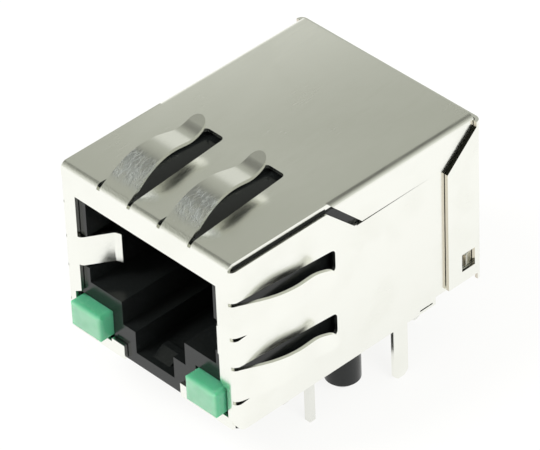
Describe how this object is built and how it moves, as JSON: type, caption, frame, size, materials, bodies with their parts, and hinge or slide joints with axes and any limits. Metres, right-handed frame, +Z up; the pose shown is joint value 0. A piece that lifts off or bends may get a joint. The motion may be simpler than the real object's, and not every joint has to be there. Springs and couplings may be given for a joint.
{
  "type": "rj45 board jack",
  "caption": "Shielded board-mount network jack with a front opening for a modular plug, sprung shield fingers, indicator lamps, locating pegs and solder pins.",
  "frame": {"origin": "on the circuit board's upper face, midway between the two locating pegs", "axes": "+Z up, away from the board; +Y into the jack, the way a plug goes in; +X across the jack, to the right of someone who faces the plug opening"},
  "size_m": [0.0186, 0.023, 0.0197],
  "materials": {
    "shield_plate": "bright tin plated sheet, nearly a mirror, with fine rolling marks",
    "black_plastic": "glossy black moulded thermoplastic",
    "lamp_green": "clear moulded green resin, translucent",
    "contact_gold": "gold plated spring wire",
    "pin_tin": "satin tin plated",
    "board_green": "green solder mask over glass laminate",
    "ferrite": "sintered ferrite, matt",
    "winding_wire": "enamelled copper wire",
    "capacitor_body": "sintered ceramic, satin",
    "resistor_body": "glazed resistor chip"
  },
  "bodies": {
    "root": {"front_shield": "shield_plate", "rear_shield": "shield_plate", "housing": "black_plastic", "contact_insert": "black_plastic", "pin_block": "black_plastic", "magnetics_board": "board_green", "led_left": "lamp_green", "led_right": "lamp_green", "hv_capacitor": "capacitor_body", "contact_1": "contact_gold", "contact_2": "contact_gold", "contact_3": "contact_gold", "contact_4": "contact_gold", "contact_5": "contact_gold", "contact_6": "contact_gold", "contact_7": "contact_gold", "contact_8": "contact_gold", "signal_pin_1": "pin_tin", "signal_pin_2": "pin_tin", "signal_pin_3": "pin_tin", "signal_pin_4": "pin_tin", "signal_pin_5": "pin_tin", "signal_pin_6": "pin_tin", "signal_pin_7": "pin_tin", "signal_pin_8": "pin_tin", "led_lead_1": "pin_tin", "led_lead_2": "pin_tin", "led_lead_3": "pin_tin", "led_lead_4": "pin_tin", "toroid_core_1": "ferrite", "toroid_core_2": "ferrite", "toroid_core_3": "ferrite", "toroid_core_4": "ferrite", "winding_1": "winding_wire", "winding_2": "winding_wire", "winding_3": "winding_wire", "winding_4": "winding_wire", "resistor_1": "resistor_body", "resistor_2": "resistor_body", "resistor_3": "resistor_body", "resistor_4": "resistor_body"}
  },
  "joints": []
}
